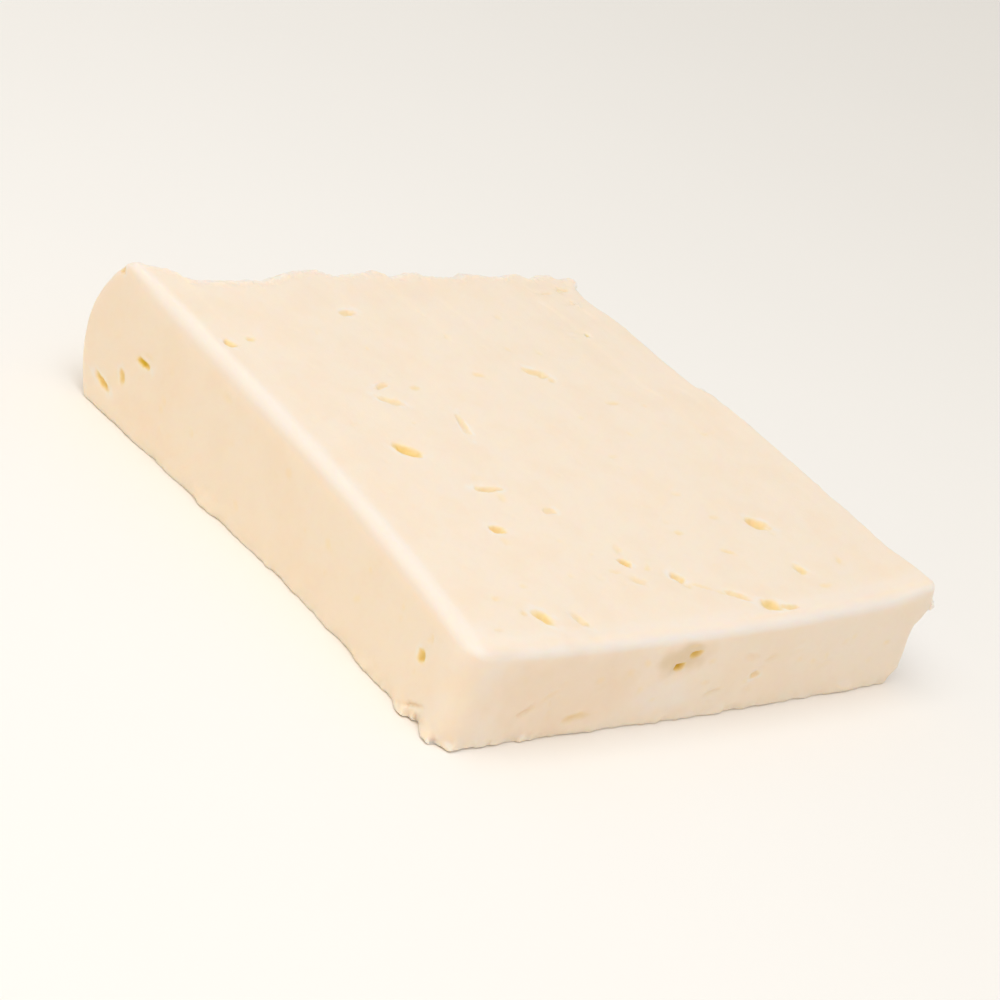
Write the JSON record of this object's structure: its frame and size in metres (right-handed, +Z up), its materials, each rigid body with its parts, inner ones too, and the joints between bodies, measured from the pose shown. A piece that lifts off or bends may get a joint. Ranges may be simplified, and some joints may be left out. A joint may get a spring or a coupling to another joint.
{
  "type": "slab of white brined cheese",
  "caption": "Flat slab of white brined cheese cut from a block, thicker at the back, with soft rims, small holes and a bulging outer side.",
  "frame": {"origin": "centre of the slab's footprint, on its flat underside", "axes": "+X to the right along the front cut, +Y towards the thicker back, +Z up through the thickness"},
  "size_m": [0.1032, 0.1058, 0.0242],
  "materials": {
    "white_cheese": "moist matte, slightly translucent"
  },
  "bodies": {
    "root": {"cheese_slab": "white_cheese"}
  },
  "joints": []
}
